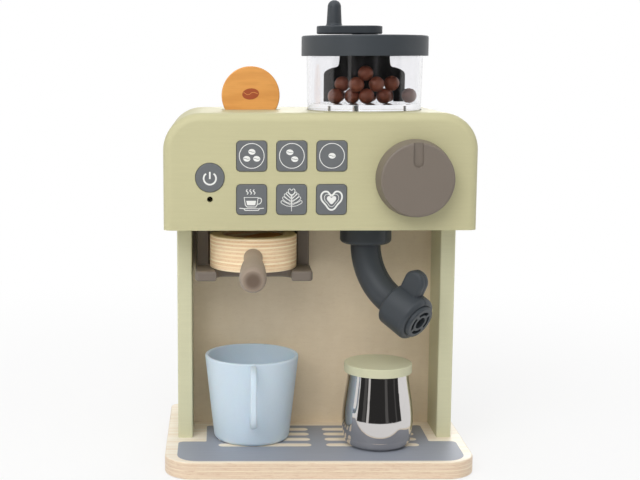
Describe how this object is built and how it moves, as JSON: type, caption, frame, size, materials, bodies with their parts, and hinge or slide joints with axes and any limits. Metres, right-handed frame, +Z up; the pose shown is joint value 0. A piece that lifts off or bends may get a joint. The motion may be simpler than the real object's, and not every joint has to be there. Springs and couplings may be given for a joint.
{
  "type": "toy coffee maker",
  "caption": "Child's wooden play coffee machine with push buttons, selector knob, hand-cranked bean hopper, swivelling steam wand, sliding filter holder, pods, mug and milk jug.",
  "frame": {"origin": "centre of the base board's underside", "axes": "+X to the machine's right as seen from the front, front towards -Y, +Z up"},
  "size_m": [0.21, 0.2042, 0.3197],
  "materials": {
    "birch_plywood": "clear lacquered birch plywood, plies seen on the edge",
    "green_paint": "satin sage green paint on wood",
    "back_board": "natural unpainted board, faint fine grain",
    "dark_plastic": "satin dark grey moulded plastic",
    "taupe_plastic": "matt taupe plastic",
    "button_plastic": "matt grey plastic",
    "clear_plastic": "clear glossy plastic",
    "bean_wood": "dark brown lacquered wood",
    "pod_wood": "orange brown stained wood",
    "mug_plastic": "soft light blue plastic",
    "polished_steel": "mirror polished steel",
    "screw_steel": "zinc plated steel",
    "dowel_wood": "plain beech",
    "black_plastic": "black plastic",
    "cell_metal": "plain wrapped cell",
    "circuit_board": "green board",
    "lamp_plastic": "clear red lamp"
  },
  "bodies": {
    "machine": {"base_board": "birch_plywood", "left_side_panel": "green_paint", "right_side_panel": "green_paint", "back_panel": "back_board", "base_screws": "screw_steel", "back_panel_screws": "screw_steel", "head_screws": "screw_steel", "front_panel": "green_paint", "front_panel_dowels": "dowel_wood", "head_shell": "green_paint", "head_floor": "green_paint", "rear_cover": "green_paint", "rear_cover_screws": "screw_steel", "battery_door": "green_paint", "battery_door_screw": "screw_steel", "battery_box": "black_plastic", "batteries": "cell_metal", "circuit_board": "circuit_board", "board_screws": "screw_steel", "board_spacers": "black_plastic", "key_switches": "black_plastic", "indicator_lamp": "lamp_plastic", "speaker": "black_plastic", "knob_washer": "black_plastic", "pod_holder": "dark_plastic", "hopper_jar": "clear_plastic", "hopper_lid": "dark_plastic", "jar_screws": "screw_steel", "bracket": "taupe_plastic", "bracket_screws": "screw_steel"},
    "power_key": {"power_button": "button_plastic"},
    "selector": {"selector_knob": "taupe_plastic", "knob_shaft": "screw_steel", "knob_retainer": "black_plastic"},
    "grinder_crank": {"crank": "dark_plastic", "crank_screw": "screw_steel", "stirrer": "dark_plastic", "beans": "bean_wood"},
    "wand": {"wand_front_half": "dark_plastic", "wand_rear_half": "dark_plastic", "wand_screws": "screw_steel", "wand_clip": "dark_plastic", "nozzle_tip": "dark_plastic"},
    "tap": {"tap_front_half": "dark_plastic", "tap_rear_half": "dark_plastic", "tap_screws": "screw_steel"},
    "filter_holder": {"filter_cup": "birch_plywood", "filter_handle": "taupe_plastic", "filter_handle_screw": "screw_steel", "cup_pod": "pod_wood"},
    "standing_pod": {"slot_pod": "pod_wood"},
    "mug_body": {"mug": "mug_plastic"},
    "jug_body": {"milk_jug": "polished_steel"},
    "jug_lid_body": {"milk_jug_lid": "green_paint"},
    "top_left_key": {"top_left_button": "button_plastic"},
    "top_middle_key": {"top_middle_button": "button_plastic"},
    "top_right_key": {"top_right_button": "button_plastic"},
    "bottom_left_key": {"bottom_left_button": "button_plastic"},
    "bottom_middle_key": {"bottom_middle_button": "button_plastic"},
    "bottom_right_key": {"bottom_right_button": "button_plastic"}
  },
  "joints": [
    {"name": "power_press", "type": "slide", "parent": "machine", "child": "power_key", "axis": [0, 1, 0], "range_m": [0, 0.0014], "stiffness_N_per_m": 1200},
    {"name": "top_left_press", "type": "slide", "parent": "machine", "child": "top_left_key", "axis": [0, 1, 0], "range_m": [0, 0.0014], "stiffness_N_per_m": 1200},
    {"name": "top_middle_press", "type": "slide", "parent": "machine", "child": "top_middle_key", "axis": [0, 1, 0], "range_m": [0, 0.0014], "stiffness_N_per_m": 1200},
    {"name": "top_right_press", "type": "slide", "parent": "machine", "child": "top_right_key", "axis": [0, 1, 0], "range_m": [0, 0.0014], "stiffness_N_per_m": 1200},
    {"name": "bottom_left_press", "type": "slide", "parent": "machine", "child": "bottom_left_key", "axis": [0, 1, 0], "range_m": [0, 0.0014], "stiffness_N_per_m": 1200},
    {"name": "bottom_middle_press", "type": "slide", "parent": "machine", "child": "bottom_middle_key", "axis": [0, 1, 0], "range_m": [0, 0.0014], "stiffness_N_per_m": 1200},
    {"name": "bottom_right_press", "type": "slide", "parent": "machine", "child": "bottom_right_key", "axis": [0, 1, 0], "range_m": [0, 0.0014], "stiffness_N_per_m": 1200},
    {"name": "selector_turn", "type": "hinge", "parent": "machine", "child": "selector", "pos_m": [0.0622, -0.06, 0.2003], "axis": [0, -1, 0], "continuous": true},
    {"name": "crank_turn", "type": "hinge", "parent": "machine", "child": "grinder_crank", "pos_m": [0.035, 0.012, 0.29], "axis": [0, 0, 1], "continuous": true},
    {"name": "wand_swivel", "type": "hinge", "parent": "machine", "child": "wand", "pos_m": [0.0348, -0.012, 0.16], "axis": [0, 0, 1], "range_deg": [-76, 14]},
    {"name": "tap_turn", "type": "hinge", "parent": "wand", "child": "tap", "pos_m": [0.05275, -0.03026, 0.11272], "axis": [0.6245, -0.6355, -0.454], "range_deg": [-60, 60]},
    {"name": "filter_slide", "type": "slide", "parent": "machine", "child": "filter_holder", "axis": [0, -1, 0], "range_m": [0, 0.065]},
    {"name": "pod_lift", "type": "slide", "parent": "machine", "child": "standing_pod", "axis": [0, 0, 1], "range_m": [0, 0.03]},
    {"name": "mug_lift", "type": "slide", "parent": "machine", "child": "mug_body", "axis": [0, 0, 1], "range_m": [0, 0.04]},
    {"name": "jug_lift", "type": "slide", "parent": "machine", "child": "jug_body", "axis": [0, 0, 1], "range_m": [0, 0.008]},
    {"name": "jug_lid_lift", "type": "slide", "parent": "jug_body", "child": "jug_lid_body", "axis": [0, 0, 1], "range_m": [0, 0.006]}
  ]
}
